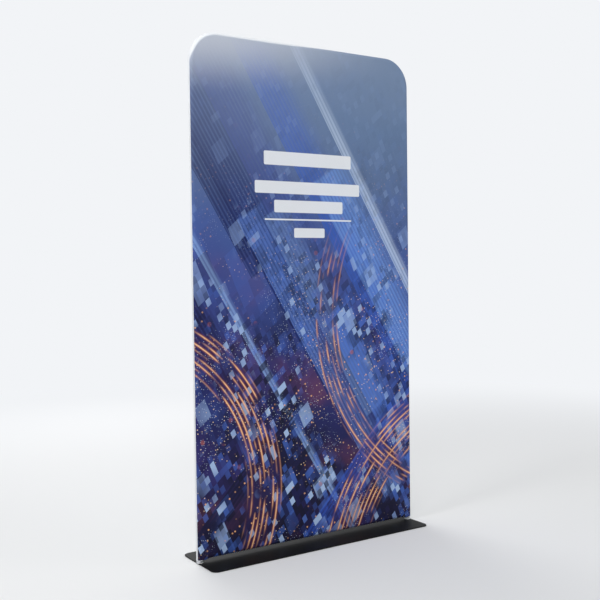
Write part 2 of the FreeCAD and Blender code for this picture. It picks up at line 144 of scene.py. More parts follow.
class Finish:
    """A material whose patterns are worked out on the piece itself."""

    def __init__(self, name, color, roughness, metallic=0.0, constants=None):
        self.material = bpy.data.materials.new(name)
        self.material.use_nodes = True
        self.material.diffuse_color = color
        self.tree = self.material.node_tree
        self.shader = self.tree.nodes["Principled BSDF"]
        fixed = {"Base Color": color, "Roughness": roughness, "Metallic": metallic}
        for socket, value in {**fixed, **(constants or {})}.items():
            self.shader.inputs[socket].default_value = value

    def add(self, kind, settings=None, inputs=None, output=0):
        return add_node(self.tree, kind, settings, inputs, output)

    def place(self):
        """Position on the piece, in metres."""
        return self.add("ShaderNodeTexCoord", output="Object")

    def noise(self, vector, scale, detail=2.0, seed=0.0):
        """Noise from 0 to 1 with features about 1 / scale metres across."""
        settings = {"noise_dimensions": "4D"}
        inputs = {"Vector": vector, "W": seed, "Scale": scale, "Detail": detail}
        return self.add("ShaderNodeTexNoise", settings, inputs)

    def mix(self, share, first, second):
        """Colour between two others. A Mix node's colours are its sockets 6 and 7 and output 2."""
        inputs = {0: share, 6: first, 7: second}
        return self.add("ShaderNodeMix", {"data_type": "RGBA"}, inputs, 2)

    def feed(self, socket, signal):
        self.tree.links.new(signal.socket, self.shader.inputs[socket])

    def bump(self, height, strength, distance):
        inputs = {"Height": height, "Strength": strength, "Distance": distance}
        self.feed("Normal", self.add("ShaderNodeBump", inputs=inputs))


def dress(finish, *names):
    """Gives CAD nodes a finish."""
    for name in names:
        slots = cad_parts[name].data.materials
        slots.clear()
        slots.append(finish.material)


matt_coat = {"Specular IOR Level": 0.08}
powder_coat = Finish("black_powder_coat", paint(16, 16, 17), roughness=0.5, constants=matt_coat)
spot = powder_coat.place()
orange_peel = powder_coat.noise(spot, scale=420.0)
handled = powder_coat.noise(spot, scale=7.0, detail=3.0, seed=3.0)
grain = powder_coat.noise(spot, scale=900.0, detail=3.0, seed=7.0)
powder_coat.feed("Base Color", powder_coat.mix(grain, paint(13, 13, 14), paint(20, 20, 21)))
powder_coat.feed("Roughness", 0.44 + handled * 0.08 + orange_peel * 0.06)
powder_coat.bump(orange_peel, strength=0.16, distance=0.0002)
dress(powder_coat, "base_plate", "post_left", "post_right")


# Pads: six moulded rubber discs stuck under the plate, which keep the steel off the floor.
# They are dull, with a fine grain from the mould.
pad_rubber = Finish("pad_rubber", paint(30, 30, 31), roughness=0.85)
spot = pad_rubber.place()
pad_rubber.feed("Roughness", 0.75 + pad_rubber.noise(spot, scale=300.0) * 0.2)
pad_rubber.bump(pad_rubber.noise(spot, scale=900.0), strength=0.3, distance=0.0002)
dress(pad_rubber, "rubber_pads")


# Small steel parts, all zinc-plated: the screws that hold the posts and the middle rail's stubs,
# the snap buttons that lock the tube joints, and the vee springs behind them.
sides = ("left", "right")
button_places = ("middle", "shoulder", "top", "middle_rail", "bottom_rail")
zinc = Finish("zinc_plate", paint(176, 178, 182), roughness=0.3, metallic=1.0)
spot = zinc.place()
cloudy = zinc.noise(spot, scale=160.0)
zinc.feed("Base Color", zinc.mix(cloudy, paint(168, 171, 176), paint(196, 195, 190)))
zinc.feed("Roughness", 0.22 + zinc.noise(spot, scale=900.0, detail=3.0) * 0.2)
zinc.bump(zinc.noise(spot, scale=2200.0, detail=1.0), strength=0.15, distance=0.0001)
dress(zinc, "post_screws", "stub_screws", "button_springs")
dress(zinc, *[f"snap_button_{place}_{side}" for place in button_places for side in sides])


# Foot bushes: flanged nylon linings pressed into the uprights' feet. Only the flange shows, as
# a pale ring between the plate and the tube.
milky = {"Subsurface Weight": 0.1, "Subsurface Scale": 0.003}
nylon = Finish("nylon", paint(238, 240, 243), roughness=0.45, constants=milky)
spot = nylon.place()
nylon.feed("Roughness", 0.38 + nylon.noise(spot, scale=140.0) * 0.2)
nylon.bump(nylon.noise(spot, scale=700.0), strength=0.1, distance=0.0002)
dress(nylon, "foot_bush_left", "foot_bush_right")


# Frame: drawn aluminium tube, satin anodised, with pressed-in ferrules and blind rivets. The die
# leaves faint lines along each tube, so uprights, rails and bends have a finish each.
def anodised(name, line_scale):
    finish = Finish(name, paint(196, 198, 202), roughness=0.36, metallic=1.0)
    spot = finish.place()
    along = finish.add("ShaderNodeVectorMath", {"operation": "MULTIPLY"}, {0: spot, 1: line_scale})
    lines = finish.noise(along, scale=1.0, detail=3.0)
    handling = finish.noise(spot, scale=14.0, detail=4.0, seed=5.0)
    finish.feed("Base Color", finish.mix(lines, paint(188, 190, 195), paint(206, 207, 210)))
    finish.feed("Roughness", 0.27 + lines * 0.1 + handling * 0.12)
    finish.bump(lines, strength=0.12, distance=0.0001)
    return finish


upright_tube = anodised("anodised_upright", (1500.0, 1500.0, 9.0))
rail_tube = anodised("anodised_rail", (9.0, 1500.0, 1500.0))
bent_tube = anodised("anodised_bend", (160.0, 900.0, 160.0))
for side in sides:
    dress(upright_tube, f"upright_lower_{side}", f"upright_upper_{side}")
    dress(upright_tube, f"ferrule_middle_{side}", f"ferrule_shoulder_{side}")
    dress(bent_tube, f"corner_tube_{side}")
    dress(rail_tube, f"ferrule_top_{side}", f"rail_stub_middle_{side}", f"rail_stub_bottom_{side}")
dress(rail_tube, "top_rail", "middle_rail", "bottom_rail", "ferrule_rivets")


# Printed front of the cover: one piece of stretch knit, drawn flat between the tubes and round
# their outer side to the seam. Its cut follows the frame, with two round corners at the top, and
# its face is dye-printed with an abstract pattern of slanting bands, squares and rings.
def middle(node):
    """Centre of a CAD node's box, to a tenth of a millimetre."""
    return [round((low + high) / 2, 4) for low, high in zip(*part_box(node))]


# Centrelines of the tubes, and of the bends at the top
tube_x = middle("upright_lower_right")[0]
rail_low, rail_middle, rail_high = [middle(f"{place}_rail")[2] for place in ("bottom", "middle", "top")]
bend_radius = 0.12
bend_x, bend_z = tube_x - bend_radius, rail_high - bend_radius

# Outer side of the cloth round a tube, and the seam's turn round it from the front
cloth_radius, cloth_thickness = round(cad_high[0] - tube_x, 4), 0.0005
front_seam, seam_dip = math.radians(62.0), 0.0002

# Openings for the feet, and where the wrap under the rail gives way to a hanging hem
foot_opening, hem_start, hem_end = 0.0155, 0.535, 0.568

# Points of one row of the cloth
side_points, side_growth, bend_points, top_points = 150, 1.7, 26, 90


def crowded(count, ends):
    """Shares from 0 to 1, closer together at both ends."""
    share = np.linspace(0.0, 1.0, count)
    return 0.5 + 0.5 * np.sign(share - 0.5) * (1 - (1 - np.abs(2 * share - 1)) ** ends)


def mirrored(points):
    return (points * (-1.0, 1.0))[::-1]


def hoop(offset, low):
    """The frame's outline moved out by offset, from the left foot over the top to the right."""
    rising = low + (bend_z - low) * np.linspace(0.0, 1.0, side_points) ** side_growth
    side = np.column_stack([np.full(side_points, -tube_x - offset), rising])
    turn = np.linspace(math.pi, math.pi / 2, bend_points)
    reach = bend_radius + offset
    bend = np.column_stack([-bend_x + reach * np.cos(turn), bend_z + reach * np.sin(turn)])
    left = np.concatenate([side[:-1], bend])
    top = np.linspace(left[-1], left[-1] * (-1.0, 1.0), top_points)[1:-1]
    return np.concatenate([left, top, mirrored(left)])


def ring(offset, low):
    """The same outline closed along the floor side, with square corners at the feet."""
    over = hoop(offset, low)
    share = crowded(count=130, ends=1.8)[1:-1, None]
    return np.concatenate([over, over[-1] + (over[0] - over[-1]) * share])


def shrunk(outline, centre, count, growth, most):
    """Ever smaller copies of an outline about a centre, the last one smaller by the share most."""
    for share in 1 - np.linspace(0, 1, count)[1:] ** growth * most:
        yield centre + (outline - np.array(centre)) * share


def hem_height(turn):
    """Height that a row of the cloth has reached at the feet, where it hangs straight down."""
    return rail_low - cloth_radius * min(min(turn, math.pi - turn) / front_seam, 1.0)


def under_rail(turn, x):
    """Depth and height along one row below the rail's centreline.

    Between the feet the row wraps under the rail. At a foot it hangs straight down in front,
    behind and outside, or lies flat underneath, where the foot comes out.
    """
    wrap_y, wrap_z = -cloth_radius * math.cos(turn), rail_low - cloth_radius * math.sin(turn)
    out = np.clip(np.abs(x) - tube_x, 0.0, cloth_radius * math.sin(turn))
    near = np.clip((np.abs(x) - hem_start) / (hem_end - hem_start), 0.0, 1.0)
    near = near * near * (3 - 2 * near)
    if front_seam < turn < math.pi - front_seam:
        flat_y = cloth_radius * (2 * (turn - front_seam) / (math.pi - 2 * front_seam) - 1)
        hang_y = flat_y + (wrap_y - flat_y) * out / (cloth_radius * math.sin(turn))
    else:
        hang_y = math.copysign(1.0, wrap_y) * np.sqrt(cloth_radius**2 - out**2)
    return wrap_y + (hang_y - wrap_y) * near, wrap_z + (hem_height(turn) - wrap_z) * near


def pull_flat(x, z):
    """How far the stretched cloth stands off its flat plane, outwards.

    It sags between the rails, fans out in folds from the feet, puckers at the bends and drifts a
    little everywhere.
    """
    bay_height, sag, rail_print, rail_reach = 1.126, 0.0012, 0.0001, 0.02
    fold, fold_reach, fold_start, fold_turns = 0.0005, 0.11, 0.03, 13.0
    pucker, pucker_reach, pucker_width, pucker_turns = 0.00018, 0.1, 0.03, 22.0
    drift, seam_reach, foot_reach = 0.00022, 0.05, 0.02

    across = np.clip(1 - (x / tube_x) ** 2, 0, 1)
    sagging = -sag * across * np.abs(np.sin(np.pi * (z - rail_low) / bay_height)) ** 1.5
    pressed = rail_print * np.exp(-(((z - rail_middle) / rail_reach) ** 2)) * across
    from_foot = np.hypot(np.abs(x) - tube_x, z - rail_low)
    fan = np.arctan2(z - rail_low, tube_x - np.abs(x))
    folds = fold * np.sin(fan * fold_turns) * np.exp(-from_foot / fold_reach)
    folds *= np.clip(from_foot / fold_start, 0, 1)
    from_bend = np.hypot(np.abs(x) - bend_x, z - bend_z)
    at_bend = np.exp(-(((from_bend - pucker_reach) / pucker_width) ** 2))
    at_bend *= (np.abs(x) > bend_x) * (z > bend_z)
    puckers = pucker * at_bend * np.sin(np.arctan2(z - bend_z, np.abs(x) - bend_x) * pucker_turns)
    drifting = drift * np.sin(x * 9.0 + z * 4.0) * np.sin(z * 7.3 - x * 3.1 + 1.0)
    drifting *= np.clip((tube_x - np.abs(x)) / seam_reach, 0, 1)
    drifting *= np.clip((rail_high - z) / seam_reach, 0, 1)
    moved = sagging + pressed + drifting + folds + puckers
    return moved * np.clip((z - rail_low) / foot_reach, 0, 1)


def at_depth(outline, y):
    """Points of an outline in space."""
    return np.column_stack([outline[:, 0], y, outline[:, 1]])


def joined(rows, closed):
    """Quads between neighbouring rows of points, all of one length, numbered row by row."""
    count = rows.shape[1]
    step = np.arange(count if closed else count - 1)
    after = (step + 1) % count
    quads = []
    for row in range(rows.shape[0] - 1):
        low, high = row * count, (row + 1) * count
        quads.append(np.column_stack([low + step, low + after, high + after, high + step]))
    return np.concatenate(quads)


def sleeve(rows, facing=1):
    """Faces of a sleeve of closed rows and of its two ends. A facing of -1 turns them all round."""
    first = np.arange(rows.shape[1])
    last = first + (rows.shape[0] - 1) * rows.shape[1]
    sides = joined(rows, True)[:, ::facing].tolist()
    return sides + [first[::-facing].tolist(), last[::facing].tolist()]


def new_piece(name, data):
    """Object of that mesh, lamp or camera, linked to the scene."""
    piece = bpy.data.objects.new(name, data)
    bpy.context.scene.collection.objects.link(piece)
    return piece


def cloth_piece(name, points, faces, cut):
    """Mesh with a map that holds each point's place on the flat cut, in metres."""
    mesh = bpy.data.meshes.new(name)
    mesh.from_pydata(points.tolist(), [], faces)
    flat_map = mesh.uv_layers.new(name="cloth")
    corner = np.empty(len(mesh.loops), np.int32)
    mesh.loops.foreach_get("vertex_index", corner)
    flat_map.data.foreach_set("uv", cut[corner].astype(np.float32).ravel())
    return new_piece(name, mesh)


def panel(name, rows, cuts, closed, facing):
    """Cloth from its rows and a last face in the middle. It faces forwards (-1) or back (1)."""
    rows = np.array(rows)
    faces = joined(rows, closed)[:, ::facing].tolist()
    last = (rows.shape[0] - 1) * rows.shape[1]
    faces.append(list(range(last, last + rows.shape[1]))[::facing])
    return cloth_piece(name, rows.reshape(-1, 3), faces, np.concatenate(cuts))


def plain_mesh(piece):
    """Applies the piece's modifiers and keeps the result as its own mesh."""
    seen = piece.evaluated_get(bpy.context.evaluated_depsgraph_get())
    mesh = bpy.data.meshes.new_from_object(seen)
    piece.modifiers.clear()
    piece.data = mesh
    return mesh


def sewn(piece, cutters=()):
    """Gives the cloth its thickness inwards, opens it at the feet, and fixes the mesh."""
    wall = piece.modifiers.new("thickness", "SOLIDIFY")
    wall.thickness, wall.offset = cloth_thickness, -1.0
    for cutter in cutters:
        opening = piece.modifiers.new("opening", "BOOLEAN")
        opening.operation, opening.object, opening.solver = "DIFFERENCE", cutter, "MANIFOLD"
    mesh = plain_mesh(piece)
    mesh.materials.clear()
    mesh.set_sharp_from_angle(angle=math.radians(35.0))
    return piece


def circle(foot_x, radius, z, corners=96):
    """Points of a level circle about one foot."""
    turns = np.linspace(0.0, 2 * math.pi, corners + 1)[:-1]
    return np.column_stack([foot_x + radius * np.cos(turns), radius * np.sin(turns), np.full(corners, z)])


def foot_cutter(foot_x):
    """Round plug that opens the cloth under one foot."""
    ends = np.array([circle(foot_x, foot_opening, z) for z in (0.0, rail_low)])
    mesh = bpy.data.meshes.new("foot_cutter")
    mesh.from_pydata(ends.reshape(-1, 3).tolist(), [], sleeve(ends))
    return new_piece("foot_cutter", mesh)


def front_rows():
    """Rows of the front from the seam to its middle, and their places on the flat cut."""
    rows, cuts = [], []
    above = len(hoop(0.0, rail_low))
    # The second row is close to the seam, so that only the seam's own edge dips in
    for turn in (front_seam, front_seam * 0.97, *np.linspace(front_seam * 0.9, 0.0, 11)):
        outline = ring(cloth_radius * math.sin(turn), hem_height(turn))
        y = np.full(len(outline), -cloth_radius * math.cos(turn))
        y[above:], outline[above:, 1] = under_rail(turn, outline[above:, 0])
        dip = seam_dip if turn == front_seam else 0.0
        y *= 1 - dip / cloth_radius
        rows.append(at_depth(outline, y))
        cuts.append(ring(cloth_radius * turn, rail_low - cloth_radius * turn))
    for outline in shrunk(ring(0.0, rail_low), centre=(0.0, 1.2), count=46, growth=1.6, most=0.985):
        y = -cloth_radius - pull_flat(outline[:, 0], outline[:, 1])
        rows.append(at_depth(outline, y))
        cuts.append(outline)
    return rows, cuts


cutters = [foot_cutter(-tube_x), foot_cutter(tube_x)]
front = sewn(panel("front_panel_cloth", *front_rows(), closed=True, facing=-1), cutters)

# The print is dull and deep, so its gloss and sheen are held low
print_constants = {"Specular IOR Level": 0.15, "Sheen Weight": 0.04, "Sheen Roughness": 0.4}
print_cloth = Finish("printed_knit", paint(60, 70, 120), roughness=0.62, constants=print_constants)


def split(finish, vector):
    """The vector's first two numbers, each as a signal."""
    first = finish.add("ShaderNodeSeparateXYZ", inputs={"Vector": vector})
    return first, first.output("Y")


def knit(finish, flat_map, pitch=0.0012, row_share=0.8):
    """Height of knitted loops: columns of small vees, one column each pitch across the cloth."""
    across, up = split(finish, flat_map)
    column = abs((across / pitch).math("FRACT") - 0.5)
    row = (up / (pitch * row_share) + column).math("FRACT")
    return (1 - column * 1.6) * (1 - abs(row - 0.5) * 1.4)


cloth_map = print_cloth.add("ShaderNodeUVMap", {"uv_map": "cloth"})
across, height = split(print_cloth, cloth_map)
below = (1.9 - height).rise(0.0, 1.3)


def turned(degrees, stretch=1.0):
    """The flat cut turned, and drawn out along its new height."""
    inputs = {"Vector": cloth_map, "Rotation": (0, 0, math.radians(degrees)), "Scale": (1.0, stretch, 1.0)}
    return print_cloth.add("ShaderNodeMapping", inputs=inputs)


def cells(vector, scale, scatter, output, metric="EUCLIDEAN"):
    settings = {"voronoi_dimensions": "2D", "distance": metric}
    inputs = {"Vector": vector, "Scale": scale, "Randomness": scatter}
    return print_cloth.add("ShaderNodeTexVoronoi", settings, inputs, output)


def lot(vector, scale, scatter, metric="EUCLIDEAN"):
    """A random number for each cell."""
    tint = cells(vector, scale, scatter, "Color", metric)
    return print_cloth.add("ShaderNodeSeparateColor", inputs={"Color": tint})


def ground():
    """Deep navy below, slate blue in the middle, pale haze above, with clouds of light."""
    drift = print_cloth.noise(turned(0, 0.6), scale=1.7, detail=3.0, seed=11.0)
    level = height / 2.3 + (drift - 0.5) * 0.14 + across * 0.05
    stops = [
        (0.0, paint(20, 19, 50)), (0.16, paint(28, 28, 72)), (0.34, paint(40, 48, 110)),
        (0.5, paint(60, 80, 148)), (0.64, paint(74, 98, 158)), (0.77, paint(92, 114, 156)),
        (0.88, paint(104, 128, 166)), (1.0, paint(132, 150, 180)),
    ]
    color = print_cloth.add("ShaderNodeValToRGB", {"stops": stops}, {"Fac": level})
    violet = print_cloth.noise(turned(-30, 1.2), scale=2.1, detail=3.0, seed=8.0).rise(0.46, 0.7)
    color = print_cloth.mix(violet * below * 0.5, color, paint(70, 60, 136))
    warm = print_cloth.noise(turned(20, 1.4), scale=2.6, detail=3.0, seed=4.0).rise(0.5, 0.72)
    return print_cloth.mix(warm * below * 0.26, color, paint(164, 84, 76))


def bands_of_light(color):
    """Slanting bands, crisp along one edge and fading to the other, ribbed with fine lines."""
    slant, cross_slant, rib_pitch = 121.0, 48.0, 0.018
    bands = (
        # centre x, centre z, slant, half length, half width, colour, strength
        (-0.30, 1.62, slant, 1.30, 0.15, (26, 42, 104), 0.9),
        (-0.56, 1.78, slant, 0.60, 0.07, (22, 34, 88), 0.85),
        (0.14, 1.18, slant, 1.60, 0.13, (62, 78, 144), 0.9),
        (0.36, 1.22, slant, 1.60, 0.11, (58, 96, 190), 0.85),
        (0.50, 1.36, slant, 1.50, 0.035, (196, 214, 240), 0.85),
        (0.60, 0.98, slant, 0.90, 0.14, (112, 152, 224), 0.85),
        (0.12, 1.08, slant, 0.56, 0.10, (112, 142, 196), 0.6),
        (0.10, 0.86, slant, 0.80, 0.09, (96, 130, 206), 0.7),
        (0.48, 0.56, slant, 0.62, 0.10, (84, 124, 212), 0.75),
        (-0.30, 0.62, slant, 1.10, 0.10, (26, 28, 78), 0.95),
        (-0.17, 0.70, slant, 1.00, 0.022, (140, 172, 226), 0.8),
        (0.32, 0.30, cross_slant, 0.70, 0.10, (52, 88, 190), 0.8),
        (-0.40, 0.24, cross_slant, 0.55, 0.08, (22, 22, 58), 0.9),
    )
    for x, z, degrees, half_length, half_width, tint, strength in bands:
        inputs = {"Vector": cloth_map, "Location": (x, z, 0.0)}
        inputs["Rotation"] = (0.0, 0.0, math.radians(degrees))
        inputs["Scale"] = (half_length, half_width, 1.0)
        on_band = print_cloth.add("ShaderNodeMapping", {"vector_type": "TEXTURE"}, inputs)
        along, over = split(print_cloth, on_band)
        inside = abs(along).rise(1.0, 0.98) * over.rise(-1.0, 0.2) * over.rise(1.0, 0.985)
        rib = abs((over * (half_width / rib_pitch)).math("FRACT") - 0.5).rise(0.08, 0.32)
        color = print_cloth.mix(inside * strength * (0.55 + rib * 0.45), color, paint(*tint))
    return color


def mosaic(color):
    """Small squares, some light and some dark, denser and stronger towards the bottom."""
    for scale, strength in ((16.0, 0.65), (44.0, 1.0)):
        shade = lot(turned(-31.0, 0.7), scale, 0.0, "CHEBYCHEV")
        patch = print_cloth.noise(cloth_map, scale=2.7, seed=scale).rise(0.4, 0.54)
        strong = patch * (0.1 + below * 0.9) * strength
        color = print_cloth.mix(shade.rise(0.6, 1.0) * strong * 0.65, color, paint(78, 118, 212))
        color = print_cloth.mix(shade.rise(0.45, 0.0) * strong * 0.85, color, paint(15, 16, 42))
        color = print_cloth.mix(shade.rise(0.91, 0.92) * strong * 0.9, color, paint(176, 202, 238))
    return color


def rings_of_light(color):
    """Fine warm lines round centres outside the panel, each broken in its own way."""
    rings = (
        # centre x, centre z, inner radius, outer radius, lines
        (-1.02, 0.30, 0.66, 0.86, 9.0), (1.05, -0.28, 0.76, 1.04, 12.0), (1.02, 1.05, 0.86, 1.0, 6.0),
    )
    for x, z, inner, outer, lines in rings:
        inputs = {0: cloth_map, 1: (x, z, 0.0)}
        reach = print_cloth.add("ShaderNodeVectorMath", {"operation": "DISTANCE"}, inputs, "Value")
        share = (reach - inner) / (outer - inner)
        band = share.rise(0.0, 0.15) * share.rise(1.0, 0.85) * (1.55 - height).rise(0.0, 0.6)
        counted = share * lines
        line = abs(counted.math("FRACT") - 0.5)
        own_seed = counted.math("FLOOR") * 3.7 + lines
        broken = print_cloth.noise(cloth_map, scale=6.0, seed=own_seed).rise(0.42, 0.62)
        color = print_cloth.mix(band * 0.28, color, paint(60, 42, 96))
        color = print_cloth.mix(line.rise(0.5, 0.05) * band * broken * 0.5, color, paint(206, 104, 66))
        color = print_cloth.mix(line.rise(0.2, 0.06) * band * broken, color, paint(252, 196, 146))
    return color


def round_lights(color):
    """Soft discs, then small bright points in clusters."""
    lights = (
        # cells per metre, radius as a share of a cell, seed, colour, strength
        (6.0, 0.16, 31.0, (110, 140, 210), 0.3), (9.0, 0.12, 17.0, (206, 112, 84), 0.45),
        (30.0, 0.15, 53.0, (255, 190, 128), 0.9), (58.0, 0.17, 71.0, (255, 224, 184), 1.0),
        (104.0, 0.21, 12.0, (214, 228, 250), 0.9),
    )
    for scale, radius_share, seed, tint, strength in lights:
        field, scatter = turned(seed), 1 - 2 * radius_share
        chosen = lot(field, scale, scatter).rise(0.62, 0.95)
        clustered = print_cloth.noise(cloth_map, scale=4.2, detail=3.0, seed=seed).rise(0.48, 0.57)
        disc = cells(field, scale, scatter, "Distance").rise(radius_share, radius_share * 0.6)
        shown = disc * chosen * clustered * strength * (0.06 + below * 0.94)
        color = print_cloth.mix(shown, color, paint(*tint))
    return color


def haze(color):
    """Pale haze over the top, part of the print, and a glow brightest at the upper left corner, which is
    print haze with painted light from the upper left.
    """
    tint = print_cloth.mix(across.rise(-0.5, 0.5), paint(140, 156, 188), paint(110, 134, 166))
    color = print_cloth.mix(height.rise(1.4, 2.4) * 0.55, color, tint)
    # Glow at the upper left: partly print haze, partly painted highlight
    painted_glow = (height - across * 0.12).rise(2.08, 2.36) * across.rise(0.7, -0.5)
    return print_cloth.mix(painted_glow * 0.9, color, paint(204, 210, 221))


def plain_bars(color):
    """Plain white bars with rounded ends."""
    rounding, edge = 0.007, 0.0006
    bars = (
        # height, half width, half height
        (1.776, 0.241, 0.031), (1.645, 0.290, 0.028), (1.560, 0.190, 0.028),
        (1.500, 0.241, 0.0035), (1.440, 0.085, 0.022),
    )
    for z, half_width, half_height in bars:
        corner = min(rounding, half_height * 0.9)
        side_gap = (abs(across) - (half_width - corner)).math("MAXIMUM", 0.0)
        end_gap = (abs(height - z) - (half_height - corner)).math("MAXIMUM", 0.0)
        gap = (side_gap * side_gap + end_gap * end_gap) ** 0.5 - corner
        color = print_cloth.mix(gap.rise(edge, -edge) * 0.95, color, paint(242, 245, 249))
    return color


def painted_rim_highlight(color):
    """Painted highlight: the print turns near white over the rounded edge along the top left, where the lamp
    over the left end lights the cloth.
    """
    near, far, blur = 0.004, 0.02, 0.005
    beyond_x = (abs(across) - bend_x).math("MAXIMUM", 0.0)
    beyond_z = (height - bend_z).math("MAXIMUM", 0.0)
    outside = (beyond_x * beyond_x + beyond_z * beyond_z) ** 0.5 - bend_radius
    # The painted highlight is widest at the upper left and fades out to the right and downwards
    highlight_fade = across.rise(-0.2, 0.28) + (bend_z + 0.06 - height).rise(0.0, 0.08)
    highlight_start = highlight_fade * (far - near) + near
    return print_cloth.mix((outside - highlight_start).rise(-blur, blur), color, paint(240, 243, 247))


color = ground()
for layer in (bands_of_light, mosaic, rings_of_light, round_lights, haze, plain_bars, painted_rim_highlight):
    color = layer(color)
loops = knit(print_cloth, cloth_map)
# Darker between the loops: painted shade in the knit's hollows
print_cloth.feed("Base Color", print_cloth.mix((1 - loops) * 0.16, color, paint(12, 12, 26)))
print_cloth.feed("Roughness", 0.56 + loops * 0.12)
print_cloth.bump(loops, strength=0.5, distance=0.0003)
front.data.materials.append(print_cloth.material)
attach(front, "frame")
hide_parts("front_panel")


# Back of the cover: plain white stretch knit, sewn to the printed front along the seam round
# the outer side of the tubes. It ends at the zip above the bottom rail.

# Gaps of the back to the front along the seam, and of both white panels to the zip's line
seam_gap, edge_gap = 0.0003, 0.00004
back_start = front_seam + seam_gap / cloth_radius
back_turns = (back_start, back_start * 1.03, *np.linspace(back_start * 1.1, math.pi, 20))

# The slot in the cloth along the zip, half its length and height, and how its ends run out
zip_z = middle("zip_stops")[2]
zip_reach, slot_half, slot_end, slot_fade = 0.5632, 0.004, 0.0025, 0.02
back_edge, strip_edge = zip_z + edge_gap, zip_z - edge_gap


def slotted(outline):
    """Lifts the lower edge off the zip, between the zip's two ends."""
    share = np.clip((zip_reach - np.abs(outline[:, 0])) / slot_end, 0, 1)
    fade = np.clip(1 - np.abs(outline[:, 1] - back_edge) / slot_fade, 0, 1)
    outline[:, 1] += (zip_z + slot_half - back_edge) * share * fade
    return outline


def back_rows():
    """Rows of the back from the seam to the zip, and their places on the flat cut."""
    rows, cuts = [], []
    for turn in back_turns:
        outline = hoop(cloth_radius * math.sin(turn), back_edge)
        dip = seam_dip if turn == back_start else 0.0
        y = np.full(len(outline), -(cloth_radius - dip) * math.cos(turn))
        rows.append(at_depth(outline, y))
        cuts.append(hoop(cloth_radius * (math.pi - turn), back_edge))
    whole = hoop(0.0, back_edge)
    for outline in shrunk(whole, centre=(0.0, back_edge), count=52, growth=1.5, most=0.99):
        outline = slotted(outline)
        y = cloth_radius + pull_flat(outline[:, 0], outline[:, 1])
        rows.append(at_depth(outline, y))
        cuts.append(outline)
    return rows, cuts


back = sewn(panel("back_panel_cloth", *back_rows(), closed=False, facing=1))

soft_sheen = {"Sheen Weight": 0.2, "Sheen Roughness": 0.45}
white_cloth = Finish("white_knit", paint(238, 239, 242), roughness=0.7, constants=soft_sheen)
white_map = white_cloth.add("ShaderNodeUVMap", {"uv_map": "cloth"})
loops = knit(white_cloth, white_map)
uneven = white_cloth.noise(white_map, scale=5.0, detail=3.0)
yarn = white_cloth.mix(uneven, paint(234, 236, 240), paint(241, 242, 244))
# Darker between the loops: painted shade in the knit's hollows
white_cloth.feed("Base Color", white_cloth.mix((1 - loops) * 0.3, yarn, paint(176, 180, 190)))
white_cloth.feed("Roughness", 0.64 + loops * 0.12)
white_cloth.bump(loops, strength=0.5, distance=0.0003)
back.data.materials.append(white_cloth.material)
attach(back, "frame")
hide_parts("back_panel")


# Lower strip: the same white knit below the zip. It wraps round the bottom rail to the front
# panel's lower seam and is open at both feet.
side_steps = np.linspace(0.0, 1.0, 22)
base_steps = crowded(count=260, ends=2.2)


def skirt(offset, low):
    """Outline from the left zip end down the side, along the bottom and up to the right end."""
    sides_x = np.full(len(side_steps), -tube_x - offset)
    left = np.column_stack([sides_x, strip_edge + (low - strip_edge) * side_steps])
    base = left[-1] + np.outer(base_steps, [2 * (tube_x + offset), 0.0])
    return np.concatenate([left[:-1], base, mirrored(left)[1:]])


def strip_wrap():
    """Rows round the tubes, from the seam to the flat back, and their places on the flat cut."""
    rows, cuts = [], []
    base = slice(len(side_steps) - 1, len(side_steps) - 1 + len(base_steps))
    for turn in back_turns:
        outline = skirt(cloth_radius * math.sin(turn), hem_height(turn))
        y = np.full(len(outline), -cloth_radius * math.cos(turn))
        y[base], outline[base, 1] = under_rail(turn, outline[base, 0])
        rows.append(at_depth(outline, y))
        wrap = cloth_radius * (math.pi - turn)
        cuts.append(skirt(wrap, rail_low - wrap))
    return np.array(rows), cuts


def strip_flat():
    """Rows of the flat back, from the rail up to the zip."""
    x = -tube_x + 2 * tube_x * base_steps
    top = np.where(np.abs(x) < zip_reach, zip_z - slot_half, strip_edge)
    y = np.full(len(x), cloth_radius)
    return [np.column_stack([x, y, rail_low + (top - rail_low) * (1 - step)]) for step in side_steps[-2::-1]]


def strip_cloth():
    """The flat rows share their ends with the sides of the last wrapped row."""
    wrap, cuts = strip_wrap()
    flat = strip_flat()
    points = np.concatenate([wrap.reshape(-1, 3)] + flat)
    cut = np.concatenate(cuts + [row[:, [0, 2]] for row in flat])
    faces = joined(wrap, False)[:, ::-1].tolist()
    base_left = (wrap.shape[0] - 1) * wrap.shape[1] + len(side_steps) - 1
    base_right = base_left + len(base_steps) - 1
    below = np.arange(base_left, base_right + 1)
    for index in range(len(flat)):
        above = wrap.shape[0] * wrap.shape[1] + index * len(base_steps) + np.arange(len(base_steps))
        above[0], above[-1] = base_left - index - 1, base_right + index + 1
        faces += np.column_stack([below[:-1], above[:-1], above[1:], below[1:]]).tolist()
        below = above
    return cloth_piece("lower_strip_cloth", points, faces, cut)


strip = sewn(strip_cloth(), cutters)
strip.data.materials.append(white_cloth.material)
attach(strip, "frame")
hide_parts("lower_strip")
for cutter in cutters:
    bpy.data.objects.remove(cutter)


# Foot bindings: white elastic cord sewn round the edge of each foot opening, so that the knit
# doesn't tear where the tube comes out.
binding_radius, binding_reach = 0.0007, 0.01576

elastic = Finish("elastic_binding", paint(240, 242, 245), roughness=0.7, constants={"Sheen Weight": 0.2})
elastic.bump(elastic.noise(elastic.place(), scale=1600.0), strength=0.3, distance=0.0003)


def new_tree(name, inputs):
    """Geometry tree with named inputs, which are returned as signals by name."""
    tree = bpy.data.node_groups.new(name, "GeometryNodeTree")
    tree.interface.new_socket("Geometry", in_out="OUTPUT", socket_type="NodeSocketGeometry")
    for label, (kind, value) in inputs.items():
        socket = tree.interface.new_socket(label, in_out="INPUT", socket_type=kind)
        if value is not None:
            socket.default_value = value
    entry = tree.nodes.new("NodeGroupInput")
    return tree, {label: Signal(tree, entry.outputs[label]) for label in inputs}


